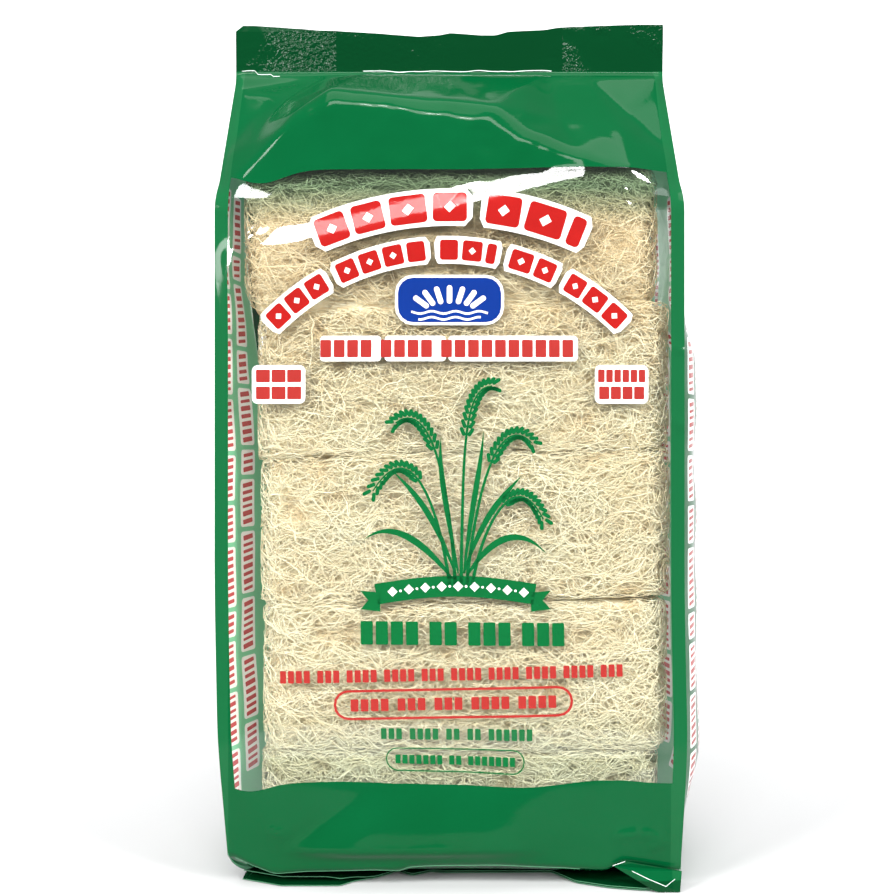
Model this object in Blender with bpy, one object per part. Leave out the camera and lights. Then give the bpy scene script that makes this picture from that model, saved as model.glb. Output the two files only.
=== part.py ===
"""Sealed, side-gusseted film pack of dried rice vermicelli, standing on its folded bottom.

Frame: metres, +Z up, origin at the bottom centre, front panel facing -Y, +X to the right.
The pack is one closed solid: the filled body with its shoulders and gussets, the flat
heat-sealed fin standing on top, and the bottom fin folded forward under the front edge.
"""
import math

import bmesh
import bpy
from mathutils import Vector

MM = 0.001

# ---- driving dimensions -------------------------------------------------------------
PANEL_WIDTH = 164 * MM          # flat width of the front and of the back panel
GUSSET_FOLD = 38.5 * MM         # side crease to the gusset's middle fold
TOTAL_HEIGHT = 316 * MM         # floor to the free edge of the top fin
TOP_FIN_HEIGHT = 16.4 * MM      # sealed strip that stands on the shoulders
SHOULDER_START = 240 * MM       # where the side creases begin to close to the top fin
FIN_THICKNESS = 1.4 * MM        # four layers of film, sealed and slightly rippled

BODY_HALF_WIDTH = 83.4 * MM     # side crease to centre, filled
BODY_HALF_DEPTH = 40 * MM       # front panel's middle to centre, filled
CREASE_HALF_DEPTH = 36.2 * MM   # side crease to centre, filled
LEFT_GUSSET_IN = 11 * MM        # left gusset folds in by this much at mid height
RIGHT_GUSSET_OUT = 4.5 * MM     # right gusset is pushed out by this much

BASE_HALF_WIDTH = 74 * MM       # flat patch that the pack stands on
BASE_HALF_DEPTH = 29 * MM
BASE_ROUND = 11 * MM            # height over which the bottom edge rounds up
BASE_LEAN = 1.8 * MM            # the body shifts to the right by this much near the floor

BOTTOM_FIN_WIDTH = 150 * MM
BOTTOM_FIN_ROOT = -16 * MM      # y of the seal line under the base
BOTTOM_FIN_EDGE = -39 * MM      # y of the fin's free edge
BOTTOM_FIN_LIFT = 0.3 * MM      # clear of the plane that the base rests on
BOTTOM_FIN_WAVE = 4.2 * MM      # the free edge rises by this much where it ripples

PANEL_STEPS = 20                # segments across a panel
GUSSET_STEPS = 8                # segments across a gusset
BODY_STEPS = 14                 # rings up the straight body
SHOULDER_STEPS = 16             # rings up the shoulders
FIN_STEPS = 30                  # segments along the bottom fin

SHOULDER_END = TOTAL_HEIGHT - TOP_FIN_HEIGHT


def blend(start, end, t):
    """Straight mix of two values."""
    return start + (end - start) * t


def smooth(t):
    """Ease from 0 to 1 with flat ends, for a value that may run outside 0 to 1."""
    t = min(1.0, max(0.0, t))
    return t * t * (3 - 2 * t)


def profile(z, stations):
    """Value at height z along a short run of (height, value) stations."""
    if z <= stations[0][0]:
        return stations[0][1]
    for (z0, v0), (z1, v1) in zip(stations, stations[1:]):
        if z <= z1:
            return blend(v0, v1, (z - z0) / (z1 - z0))
    return stations[-1][1]


def round_up(z, base, body):
    """Quarter-round from the flat base's size up to the body's size."""
    t = min(1.0, z / BASE_ROUND)
    return base + (body - base) * math.sqrt(1 - (1 - t) ** 2)


def crease_x(z):
    """Distance of a side crease from the centre line."""
    if z < SHOULDER_START:
        return round_up(z, BASE_HALF_WIDTH, BODY_HALF_WIDTH)
    closing = (z - SHOULDER_START) / (SHOULDER_END - SHOULDER_START)
    return blend(BODY_HALF_WIDTH, PANEL_WIDTH / 2, min(1.0, closing))


def crease_y(z):
    """Half depth at a side crease: the shoulders close in a straight gable."""
    if z < SHOULDER_START:
        return round_up(z, BASE_HALF_DEPTH - 2 * MM, CREASE_HALF_DEPTH)
    closing = (z - SHOULDER_START) / (SHOULDER_END - 3 * MM - SHOULDER_START)
    return blend(CREASE_HALF_DEPTH, FIN_THICKNESS / 2, min(1.0, closing))


def middle_y(z):
    """Half depth at a panel's middle: full up to the ridge, then a low slope to the fin."""
    if z < SHOULDER_START:
        return round_up(z, BASE_HALF_DEPTH, BODY_HALF_DEPTH)
    ridge = SHOULDER_END - 20 * MM
    slope = [
        (SHOULDER_START, BODY_HALF_DEPTH),
        (ridge, BODY_HALF_DEPTH - 2.5 * MM),
        (SHOULDER_END - 3 * MM, 5 * MM),
        (SHOULDER_END, FIN_THICKNESS / 2),
    ]
    return profile(z, slope)


def ridge_x(z, side):
    """How far out the panel's full part reaches; the right shoulder has slumped lower."""
    full = 0.97 * BODY_HALF_WIDTH
    if side < 0:
        reach = [(SHOULDER_START, full), (276 * MM, 58 * MM), (283 * MM, 41 * MM)]
    else:
        reach = [(SHOULDER_START, full), (255 * MM, 67 * MM), (272 * MM, 39 * MM), (281 * MM, 20 * MM)]
    return profile(z, reach)


def panel_y(x, z):
    """Half depth of a panel at x: bulged on the body, facetted on the shoulders."""
    edge = crease_x(z)
    share = min(1.0, abs(x) / edge)
    body = crease_y(z) + (middle_y(z) - crease_y(z)) * (1 - share ** 4)
    reach = ridge_x(z, x)
    if abs(x) <= reach:
        facet = middle_y(z)
    else:
        facet = blend(middle_y(z), crease_y(z), (abs(x) - reach) / max(edge - reach, MM))
    return blend(body, facet, smooth((z - SHOULDER_START) / (20 * MM)))


def gusset_in(z, side):
    """How far the gusset's middle lies inside its creases; less than zero is a bulge."""
    body = LEFT_GUSSET_IN if side < 0 else -RIGHT_GUSSET_OUT
    low = blend(3 * MM, body, smooth(z / (45 * MM)))
    if z <= SHOULDER_START - 25 * MM:
        return low
    if z >= SHOULDER_END - 0.1 * MM:
        return 0.0
    tucked = math.sqrt(max(0.0, GUSSET_FOLD ** 2 - crease_y(z) ** 2))
    return blend(low, tucked, smooth((z - SHOULDER_START + 25 * MM) / (32 * MM)))


def gusset_x(t, z, side):
    """x of the gusset at t, -1 at the front crease, 0 at its middle, 1 at the back crease."""
    depth = gusset_in(z, side)
    bow = 1 - t * t
    tuck = 1 - abs(t)
    tucked = smooth(depth / (14 * MM))
    return side * (crease_x(z) - depth * blend(bow, tuck, tucked))


def ripple(x, z):
    """Sideways ripple of the standing top fin."""
    rise = smooth((z - SHOULDER_END) / TOP_FIN_HEIGHT)
    return 1.6 * MM * rise * math.sin(x / (19 * MM) + 0.6)


def section(z):
    """Closed outline of the pack at height z, anticlockwise from the front left crease."""
    edge = crease_x(z)
    lean = BASE_LEAN * (1 - smooth(z / (120 * MM)))
    outline = []
    for i in range(PANEL_STEPS):
        x = blend(-edge, edge, i / PANEL_STEPS)
        outline.append((x, -panel_y(x, z)))
    for i in range(GUSSET_STEPS):
        t = blend(-1.0, 1.0, i / GUSSET_STEPS)
        outline.append((gusset_x(t, z, 1), t * crease_y(z)))
    for i in range(PANEL_STEPS):
        x = blend(edge, -edge, i / PANEL_STEPS)
        outline.append((x, panel_y(x, z)))
    for i in range(GUSSET_STEPS):
        t = blend(1.0, -1.0, i / GUSSET_STEPS)
        outline.append((gusset_x(t, z, -1), t * crease_y(z)))
    return [(x + lean, y + ripple(x, z), z) for x, y in outline]


def levels():
    """Heights of the rings: close together where the base rounds up and on the shoulders."""
    heights = [BASE_ROUND * (1 - math.cos(math.radians(a))) for a in (0, 25, 42, 60, 90)]
    for i in range(1, BODY_STEPS + 1):
        heights.append(blend(BASE_ROUND, SHOULDER_START, i / BODY_STEPS))
    for i in range(1, SHOULDER_STEPS + 1):
        heights.append(blend(SHOULDER_START, SHOULDER_END - 3 * MM, i / SHOULDER_STEPS))
    heights.append(SHOULDER_END)
    heights.append(blend(SHOULDER_END, TOTAL_HEIGHT, 0.5))
    heights.append(TOTAL_HEIGHT)
    return heights


def skin(mesh, rings):
    """Join neighbouring rings with quads and close both ends."""
    loops = [[mesh.verts.new(point) for point in ring] for ring in rings]
    count = len(loops[0])
    for lower, upper in zip(loops, loops[1:]):
        for i in range(count):
            j = (i + 1) % count
            mesh.faces.new((lower[i], lower[j], upper[j], upper[i]))
    mesh.faces.new(list(reversed(loops[0])))
    mesh.faces.new(loops[-1])


def body_mesh():
    """Filled body, shoulders and standing top fin as one skin."""
    mesh = bmesh.new()
    skin(mesh, [section(z) for z in levels()])
    bmesh.ops.remove_doubles(mesh, verts=mesh.verts, dist=0.02 * MM)
    bmesh.ops.recalc_face_normals(mesh, faces=mesh.faces)
    return mesh


def centring(mesh):
    """How far the mesh must move along X for its box to be centred on the origin."""
    xs = [vert.co.x for vert in mesh.verts]
    return -(min(xs) + max(xs)) / 2


def fin_rise(x):
    """Height of the bottom fin's free edge over its root: two low places, one high."""
    middle = math.exp(-((x - 8 * MM) / (26 * MM)) ** 2)
    right = 0.35 * math.exp(-((x - 62 * MM) / (12 * MM)) ** 2)
    return BOTTOM_FIN_WAVE * (middle + right)


def bottom_fin_mesh():
    """Thin strip folded forward under the base, its free edge rippled."""
    mesh = bmesh.new()
    rings = []
    for i in range(FIN_STEPS + 1):
        x = blend(-BOTTOM_FIN_WIDTH / 2, BOTTOM_FIN_WIDTH / 2, i / FIN_STEPS)
        ring = []
        for share in (0.0, 0.35, 0.7, 1.0):
            y = blend(BOTTOM_FIN_ROOT, BOTTOM_FIN_EDGE, share)
            ring.append((x, y, BOTTOM_FIN_LIFT + fin_rise(x) * share ** 2))
        top = [(px, py, pz + FIN_THICKNESS) for px, py, pz in reversed(ring)]
        rings.append(ring + top)
    skin(mesh, rings)
    bmesh.ops.recalc_face_normals(mesh, faces=mesh.faces)
    return mesh


def material(name, colour, roughness):
    """Principled material with one colour."""
    made = bpy.data.materials.new(name)
    made.use_nodes = True
    shader = made.node_tree.nodes["Principled BSDF"]
    shader.inputs["Base Color"].default_value = colour
    shader.inputs["Roughness"].default_value = roughness
    shader.inputs["Metallic"].default_value = 0.0
    return made


def place(name, mesh):
    """Turn a bmesh into a named object in the scene."""
    data = bpy.data.meshes.new(name)
    mesh.to_mesh(data)
    mesh.free()
    made = bpy.data.objects.new(name, data)
    bpy.context.scene.collection.objects.link(made)
    return made


for old in list(bpy.data.objects):
    bpy.data.objects.remove(old)

film_bag = body_mesh()
folded_fin = bottom_fin_mesh()
shift = Vector((centring(film_bag), 0.0, 0.0))
bmesh.ops.translate(film_bag, verts=film_bag.verts, vec=shift)
bmesh.ops.translate(folded_fin, verts=folded_fin.verts, vec=shift)

pack = place("pack", film_bag)
pack.data.materials.append(material("printed_film", (0.02, 0.20, 0.07, 1.0), 0.25))

fin = place("bottom_fin_guide", folded_fin)
fin.hide_render = True
fin.display_type = "WIRE"

join = pack.modifiers.new("folded_bottom_fin", "BOOLEAN")
join.operation = "UNION"
join.solver = "EXACT"
join.object = fin
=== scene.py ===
"""Sealed film pack of dried rice vermicelli, standing on a white studio floor."""
import math

import bmesh
import bpy
import numpy as np
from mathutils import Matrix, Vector, geometry


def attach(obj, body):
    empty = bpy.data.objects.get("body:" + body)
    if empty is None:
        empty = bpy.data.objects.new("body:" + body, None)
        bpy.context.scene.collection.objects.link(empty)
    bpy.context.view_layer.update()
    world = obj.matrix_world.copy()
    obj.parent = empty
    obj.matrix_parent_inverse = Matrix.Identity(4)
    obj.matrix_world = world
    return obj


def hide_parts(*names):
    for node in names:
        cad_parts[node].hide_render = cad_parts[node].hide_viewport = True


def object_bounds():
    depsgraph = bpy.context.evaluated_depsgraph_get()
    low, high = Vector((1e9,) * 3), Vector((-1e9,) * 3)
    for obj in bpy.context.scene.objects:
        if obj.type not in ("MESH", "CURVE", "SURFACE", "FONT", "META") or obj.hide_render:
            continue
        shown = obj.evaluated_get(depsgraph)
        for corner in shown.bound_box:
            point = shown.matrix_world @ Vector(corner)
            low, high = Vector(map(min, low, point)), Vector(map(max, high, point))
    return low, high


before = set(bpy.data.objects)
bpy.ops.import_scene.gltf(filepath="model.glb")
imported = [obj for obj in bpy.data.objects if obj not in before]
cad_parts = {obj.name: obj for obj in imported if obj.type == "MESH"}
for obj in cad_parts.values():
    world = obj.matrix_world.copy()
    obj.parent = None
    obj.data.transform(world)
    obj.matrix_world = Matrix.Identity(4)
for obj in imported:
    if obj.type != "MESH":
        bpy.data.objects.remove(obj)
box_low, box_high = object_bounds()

MM = 0.001

# ---- the blocks of vermicelli --------------------------------------------------------
# Five blocks stacked flat: very fine rice strands, steamed and dried in loosely laid mats.
# Each block is a tangle of single strands laid round a denser core of the same rice.
HALF_WIDTH = 83.4 * MM
MIDDLE_X = box_low.x + HALF_WIDTH
BLOCK_SIDE_DEPTH = 34.6 * MM
BLOCK_CROWN = 3.0 * MM
BLOCK_CORNER = 9 * MM
STRAND_LENGTH = 60 * MM
STRAND_STEPS = 17
STRANDS = 2030
THIN_RADIUS, THICK_RADIUS = 0.10 * MM, 0.175 * MM
RING_POINTS = 120
MAT_DEPTH = 4.8 * MM
CORE_INSET = 4.0 * MM
# floor and top of each block, its left and right sides, the radius of its edges, its tilt
# and its seed
BLOCKS = [
    (8.0 * MM, 49.0 * MM, -68.5 * MM, 76.0 * MM, 3.6 * MM, 0.000, 3),
    (47.0 * MM, 102.0 * MM, -68.0 * MM, 79.5 * MM, 3.6 * MM, 0.006, 14),
    (100.5 * MM, 155.0 * MM, -69.0 * MM, 80.5 * MM, 3.6 * MM, 0.030, 25),
    (152.5 * MM, 207.5 * MM, -70.0 * MM, 80.0 * MM, 3.6 * MM, 0.030, 36),
    (203.0 * MM, 262.0 * MM, -75.0 * MM, 76.0 * MM, 13 * MM, 0.010, 47),
]


def add_node(tree, kind, feeds=None, **settings):
    """New node with its settings; a value, a socket, a Rule or a node feeds each input."""
    node = tree.nodes.new(kind)
    for name, value in settings.items():
        setattr(node, name, value)
    for name, value in (feeds or {}).items():
        value = getattr(value, "socket", value)
        value = value.outputs[0] if isinstance(value, bpy.types.Node) else value
        if isinstance(value, bpy.types.NodeSocket):
            tree.links.new(value, node.inputs[name])
        else:
            node.inputs[name].default_value = value
    return node


class Rule:
    """A value in a node tree. Plain arithmetic on it adds the Math nodes."""

    def __init__(self, tree, socket):
        self.tree, self.socket = tree, socket

    def maths(self, operation, *others):
        feeds = dict(enumerate((self,) + others))
        node = add_node(self.tree, "ShaderNodeMath", feeds, operation=operation)
        return Rule(self.tree, node.outputs[0])

    def __add__(self, other):
        return self.maths("ADD", other)

    def __sub__(self, other):
        return self.maths("SUBTRACT", other)

    def __mul__(self, other):
        return self.maths("MULTIPLY", other)

    def __truediv__(self, other):
        return self.maths("DIVIDE", other)


def strand_tree():
    """Lays strands round a block's outline, over its edges and into its depth."""
    tree = bpy.data.node_groups.new("laid_strands", "GeometryNodeTree")
    wanted = [("Outline", "Geometry"), ("Strands", "Int"), ("Front share", "Float"),
              ("Front start", "Float"), ("Front end", "Float"), ("Strand length", "Float"),
              ("Floor", "Float"), ("Top", "Float"), ("Edge radius", "Float"), ("Depth", "Float"),
              ("Tilt", "Float"), ("Thin", "Float"), ("Thick", "Float"), ("Seed", "Int"),
              ("Material", "Material")]
    for label, kind in wanted:
        tree.interface.new_socket(name=label, in_out="INPUT", socket_type="NodeSocket" + kind)
    tree.interface.new_socket(name="Laid", in_out="OUTPUT", socket_type="NodeSocketGeometry")
    given = tree.nodes.new("NodeGroupInput").outputs

    def size(name):
        return Rule(tree, given[name])

    def part(node, name=0):
        return Rule(tree, node.outputs[name])

    # the outline as one closed curve, and one straight strand for every point
    dots = add_node(tree, "GeometryNodeMeshToPoints", {"Mesh": given["Outline"]})
    ring = add_node(tree, "GeometryNodePointsToCurves", {"Points": dots})
    loop = add_node(tree, "GeometryNodeSetSplineCyclic", {"Geometry": ring, "Cyclic": True})
    around = part(add_node(tree, "GeometryNodeCurveLength", {"Curve": loop}))
    starts = add_node(tree, "GeometryNodePoints", {"Count": given["Strands"]})
    line = add_node(tree, "GeometryNodeCurvePrimitiveLine", {"End": (1.0, 0.0, 0.0)})
    beads = add_node(tree, "GeometryNodeResampleCurve", {"Curve": line, "Count": STRAND_STEPS})
    laid = add_node(tree, "GeometryNodeInstanceOnPoints", {"Points": starts, "Instance": beads})
    strands = add_node(tree, "GeometryNodeRealizeInstances", {"Geometry": laid})
    number = part(tree.nodes.new("GeometryNodeCurveOfPoint"), "Curve Index")
    along = part(tree.nodes.new("GeometryNodeSplineParameter"), "Factor")

    def chance(low, high, draw):
        """Random value that is the same all along a strand."""
        node = add_node(tree, "FunctionNodeRandomValue", {2: low, 3: high, "ID": number,
                        "Seed": size("Seed") * 20.0 + float(draw)}, data_type="FLOAT")
        return part(node, 1)

    def noise(across, up, detail=1.0):
        """Smooth random value of about -0.5 to 0.5 over a plane."""
        spot = add_node(tree, "ShaderNodeCombineXYZ", {0: across, 1: up, 2: size("Seed") * 3.7})
        node = add_node(tree, "ShaderNodeTexNoise", {"Vector": spot, "Scale": 1.0, "Detail": detail})
        return part(node, 0) - 0.5

    # a strand's heading wanders, and its steps add up to a curly path of the same length
    slope = chance(-0.6, 0.6, 1) + chance(-0.4, 0.4, 2)
    curl = chance(3.0, 13.0, 3)
    heading = slope + noise(along * 9.0, number * 5.3, 2.0) * curl
    pace = size("Strand length") / (STRAND_STEPS - 1.0)
    step = add_node(tree, "ShaderNodeCombineXYZ", {0: heading.maths("COSINE") * pace,
                    1: heading.maths("SINE") * pace})
    path = add_node(tree, "GeometryNodeAccumulateField", {0: step, "Group ID": number},
                    data_type="FLOAT_VECTOR")
    gone = add_node(tree, "ShaderNodeSeparateXYZ", {0: path.outputs["Leading"]})
    whole = add_node(tree, "ShaderNodeSeparateXYZ", {0: path.outputs["Total"]})
    sideways = part(gone, 0) - part(whole, 0) * 0.5
    upwards = part(gone, 1) - part(whole, 1) * 0.5

    # where it lies: mostly on the front, the rest round the sides and the back
    front = size("Front end") - size("Front start")
    in_front = chance(0.0, 1.0, 4).maths("LESS_THAN", size("Front share"))
    on_front = size("Front start") + front * chance(0.0, 1.0, 5)
    elsewhere = size("Front end") + (around - front) * chance(0.0, 1.0, 6)
    u = elsewhere + (on_front - elsewhere) * in_front + sideways
    half = (size("Top") - size("Floor")) * 0.5
    straight = half - size("Edge radius")
    quarter = size("Edge radius") * (math.pi / 2)
    reach = straight + quarter
    v = reach * chance(-1.0, 1.0, 7) + upwards
    v = v + noise(u / (9 * MM), v / (6 * MM)) * (5 * MM)
    depth = size("Depth") * chance(0.0, 1.0, 8).maths("POWER", 1.25)
    depth = depth + noise(along * 5.0, number * 3.1) * (5 * MM)
    dent = (noise(u / (9 * MM), v / (6.5 * MM)) - 0.11).maths("MAXIMUM", 0.0)
    depth = depth + dent * (28 * MM)
    depth = depth.maths("SMOOTH_MAX", 0.35 * MM, 1.2 * MM).maths("MINIMUM", size("Depth") * 0.76)

    # from the flat lay-out onto the block: round the outline, and over its rounded edges
    above = v.maths("SIGN")
    beyond = (v.maths("ABSOLUTE") - straight).maths("MAXIMUM", 0.0)
    turn = (beyond / size("Edge radius")).maths("MINIMUM", math.pi / 2)
    inset = size("Edge radius") * (turn.maths("COSINE") * -1.0 + 1.0)
    inset = inset + (beyond - quarter).maths("MAXIMUM", 0.0) + depth * turn.maths("COSINE")
    rise = v.maths("ABSOLUTE").maths("MINIMUM", straight) + turn.maths("SINE") * (
        size("Edge radius") - depth)
    spot = add_node(tree, "GeometryNodeSampleCurve", {"Curves": loop,
                    "Length": u.maths("WRAP", around, 0.0)}, mode="LENGTH")
    outward = add_node(tree, "ShaderNodeVectorMath", {0: spot.outputs["Tangent"], 1: (0, 0, 1)},
                       operation="CROSS_PRODUCT")
    inward = add_node(tree, "ShaderNodeVectorMath", {0: outward, "Scale": inset * -1.0}, operation="SCALE")
    flat = add_node(tree, "ShaderNodeVectorMath", {0: spot.outputs["Position"], 1: inward})
    split = add_node(tree, "ShaderNodeSeparateXYZ", {0: flat})
    height = size("Floor") + half + rise * above + part(split, 0) * size("Tilt")
    final = add_node(tree, "ShaderNodeCombineXYZ", {0: part(split, 0), 1: part(split, 1), 2: height})

    moved = add_node(tree, "GeometryNodeSetPosition", {"Geometry": strands, "Position": final})
    # each strand's own random colour value, lowered where it lies in a dent: painted shade in the dents
    tone_and_dent_shade = add_node(tree, "GeometryNodeStoreNamedAttribute", {"Geometry": moved,
                    "Name": "tone_and_dent_shade", "Value": chance(0.0, 1.0, 10) - dent * 9.0},
                    data_type="FLOAT", domain="POINT")
    profile = add_node(tree, "GeometryNodeCurvePrimitiveCircle", {"Resolution": 3, "Radius": 1.0})
    tubes = add_node(tree, "GeometryNodeCurveToMesh", {"Curve": tone_and_dent_shade,
                     "Profile Curve": profile, "Fill Caps": True,
                     "Scale": chance(size("Thin"), size("Thick"), 9)})
    rounded = add_node(tree, "GeometryNodeSetShadeSmooth", {"Geometry": tubes})
    real = add_node(tree, "GeometryNodeRealizeInstances", {"Geometry": rounded})
    coloured = add_node(tree, "GeometryNodeSetMaterial", {"Geometry": real,
                        "Material": given["Material"]})
    result = tree.nodes.new("NodeGroupOutput")
    tree.links.new(coloured.outputs[0], result.inputs[0])
    return tree


def grow(owner, tree, name, inputs):
    """Runs a geometry tree on an object and returns its result as a plain mesh object."""
    sockets = {item.name: item.identifier for item in tree.interface.items_tree
               if item.in_out == "INPUT"}
    modifier = owner.modifiers.new(name, "NODES")
    modifier.node_group = tree
    for label, value in inputs.items():
        modifier[sockets[label]] = value
    seen = owner.evaluated_get(bpy.context.evaluated_depsgraph_get())
    mesh = bpy.data.meshes.new_from_object(seen)
    owner.modifiers.remove(modifier)
    bpy.data.objects.remove(owner)
    return add_piece(name, mesh)


def add_piece(name, mesh):
    """New object in the scene for a finished mesh."""
    mesh.name = name
    piece = bpy.data.objects.new(name, mesh)
    bpy.context.scene.collection.objects.link(piece)
    return piece


def fix(piece):
    """Every piece moves with the one body and stands for part of the plain pack."""
    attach(piece, "root")
    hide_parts("pack")


def block_outline(left, right, inset, spacing):
    """Plan of a block, anticlockwise from its back left corner: round corners, crowned front."""
    left, right = left + inset, right - inset
    side = BLOCK_SIDE_DEPTH - inset
    corner = max(3 * MM, BLOCK_CORNER - 0.5 * inset)
    rough = []
    for x, y, start in ((left, side, 90), (left, -side, 180), (right, -side, 270), (right, side, 0)):
        cx = x + corner if x == left else x - corner
        cy = y - math.copysign(corner, y)
        for step in range(0, 91, 15):
            angle = math.radians(start + step)
            rough.append((cx + corner * math.cos(angle), cy + corner * math.sin(angle)))
    rough = np.array(rough + rough[:1])
    middle, half = (left + right) / 2, (right - left) / 2
    gone = np.concatenate([[0], np.cumsum(np.hypot(*np.diff(rough, axis=0).T))])
    even = np.arange(0, gone[-1], spacing)
    x, y = np.interp(even, gone, rough[:, 0]), np.interp(even, gone, rough[:, 1])
    y = y + np.sign(y) * BLOCK_CROWN * (1 - (np.abs(x - middle) / half) ** 3)
    return np.stack([x + MIDDLE_X, y], axis=1)


def new_material(name):
    """Material with an empty tree, and the place on the object that its textures read."""
    material = bpy.data.materials.new(name)
    material.use_nodes = True
    tree = material.node_tree
    tree.nodes.clear()
    return material, tree, add_node(tree, "ShaderNodeTexCoord").outputs["Object"]


def noise_over(tree, where, scale, detail, distortion=0.0):
    node = add_node(tree, "ShaderNodeTexNoise", {"Vector": where, "Scale": scale, "Detail": detail,
                    "Distortion": distortion})
    return Rule(tree, node.outputs[0])


def ramp(tree, value, start, end, top=1.0):
    """0 at start and before it, rising evenly to top at end."""
    node = add_node(tree, "ShaderNodeMapRange", {"Value": value, "From Min": start, "From Max": end,
                    "To Max": top})
    return Rule(tree, node.outputs[0])


def blend(tree, share, first, second):
    """The first colour where share is 0, the second where it is 1."""
    first, second = [c + (1,) if isinstance(c, tuple) else c for c in (first, second)]
    node = add_node(tree, "ShaderNodeMix", {0: share, "A": first, "B": second}, data_type="RGBA")
    return node.outputs["Result"]


def bumps(tree, height, strength, distance):
    node = add_node(tree, "ShaderNodeBump", {"Height": height, "Strength": strength,
                    "Distance": distance})
    return node.outputs[0]


def surface(tree, colour, roughness, more=None):
    """Ends a material with the one surface that it is made of."""
    colour = colour + (1,) if isinstance(colour, tuple) else colour
    feeds = {"Base Color": colour, "Roughness": roughness}
    feeds.update(more or {})
    skin = add_node(tree, "ShaderNodeBsdfPrincipled", feeds)
    add_node(tree, "ShaderNodeOutputMaterial", {"Surface": skin})


# painted light and shade on the rice, by height: darker and tinted green where the light has come through the
# green film above and below
tinted = bpy.data.node_groups.new("light_through_film", "ShaderNodeTree")
tinted.interface.new_socket(name="Colour", in_out="INPUT", socket_type="NodeSocketColor")
tinted.interface.new_socket(name="Tinted", in_out="OUTPUT", socket_type="NodeSocketColor")
given = tinted.nodes.new("NodeGroupInput").outputs
spot = add_node(tinted, "ShaderNodeTexCoord").outputs["Object"]
up = add_node(tinted, "ShaderNodeSeparateXYZ", {0: spot}).outputs["Z"]
above = ramp(tinted, up, 0.236, 0.249)
below = ramp(tinted, up, 0.065, 0.045, 0.36)
shade = blend(tinted, above.maths("MAXIMUM", below), given["Colour"], (0.26, 0.37, 0.20))
add_node(tinted, "NodeGroupOutput", {"Tinted": shade})

# cream to nearly white strands, with painted shade: browner towards the top of the stack and darker in the
# dents
vermicelli, tree, spot = new_material("vermicelli")
tone_and_dent_shade = Rule(tree, add_node(tree, "ShaderNodeAttribute", attribute_name="tone_and_dent_shade").outputs["Fac"])
up = add_node(tree, "ShaderNodeSeparateXYZ", {0: spot}).outputs["Z"]
# painted shade: browner towards the top, where the top block lies back in shade
high = ramp(tree, up, 0.17, 0.235, 0.7)
shade = tone_and_dent_shade * 0.7 + noise_over(tree, spot, 45.0, 2.0) * 0.8 - high - 0.02
colour = blend(tree, shade, (0.90, 0.74, 0.47), (0.98, 0.94, 0.72))
shaded = add_node(tree, "ShaderNodeGroup", {"Colour": colour}, node_tree=tinted)
surface(tree, shaded, 0.42,
        {"Normal": bumps(tree, noise_over(tree, spot, 2500.0, 1.0), 0.25, 0.0001)})

vermicelli_core, tree, spot = new_material("vermicelli_core")
laid = add_node(tree, "ShaderNodeMapping", {"Vector": spot, "Scale": (160.0, 160.0, 900.0)})
weave = noise_over(tree, laid, 1.0, 3.0, 1.5)
colour = blend(tree, ramp(tree, weave, 0.36, 0.62), (0.88, 0.72, 0.46), (0.98, 0.92, 0.71))
shaded = add_node(tree, "ShaderNodeGroup", {"Colour": colour}, node_tree=tinted)
surface(tree, shaded, 0.7, {"Normal": bumps(tree, weave, 0.6, 0.0010)})

laid_strands = strand_tree()
for index, (floor, top, left, right, radius, tilt, seed) in enumerate(BLOCKS):
    name = "vermicelli_block_%d" % (index + 1)
    plan = block_outline(left, right, 0.0, 1.5 * MM)
    guide = bpy.data.meshes.new("guide")
    guide.from_pydata([(x, y, 0.0) for x, y in plan], [], [])
    owner = bpy.data.objects.new("guide", guide)
    bpy.context.scene.collection.objects.link(owner)
    front_start = math.pi * BLOCK_CORNER + 2 * (BLOCK_SIDE_DEPTH - BLOCK_CORNER) - 8 * MM
    front_end = front_start + right - left - 2 * BLOCK_CORNER + 16 * MM
    block = grow(owner, laid_strands, name, {
        "Strands": STRANDS, "Front share": 0.70, "Front start": front_start, "Front end": front_end,
        "Strand length": STRAND_LENGTH, "Floor": floor, "Top": top, "Edge radius": radius,
        "Depth": MAT_DEPTH, "Tilt": tilt, "Thin": THIN_RADIUS, "Thick": THICK_RADIUS, "Seed": seed,
        "Material": vermicelli})
    fix(block)

    # the core: the same block one mat depth smaller, with rounded edges
    mesh = bmesh.new()
    rings = []
    low, high = floor + 1.0 * MM, top - 1.0 * MM
    levels = [(low, 4 * MM), (low + 1.0 * MM, 1.6 * MM), (low + 3 * MM, 0.3 * MM), (low + 6 * MM, 0.0)]
    levels += [((low + high) / 2, 0.0)]
    levels += [(high - (z - low), inset) for z, inset in reversed(levels[:4])]
    for z, inset in levels:
        plan = block_outline(left, right, CORE_INSET + inset, 1.0 * MM)
        picks = (np.arange(RING_POINTS) * len(plan) / RING_POINTS).astype(int)
        rings.append([mesh.verts.new((x, y, z + x * tilt)) for x, y in plan[picks]])
    for lower, upper in zip(rings, rings[1:]):
        for i in range(RING_POINTS):
            j = (i + 1) % RING_POINTS
            mesh.faces.new((lower[i], lower[j], upper[j], upper[i]))
    mesh.faces.new(list(reversed(rings[0])))
    mesh.faces.new(rings[-1])
    data = bpy.data.meshes.new("core")
    mesh.to_mesh(data)
    mesh.free()
    data.materials.append(vermicelli_core)
    data.shade_smooth()
    fix(add_piece("vermicelli_core_%d" % (index + 1), data))

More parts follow.
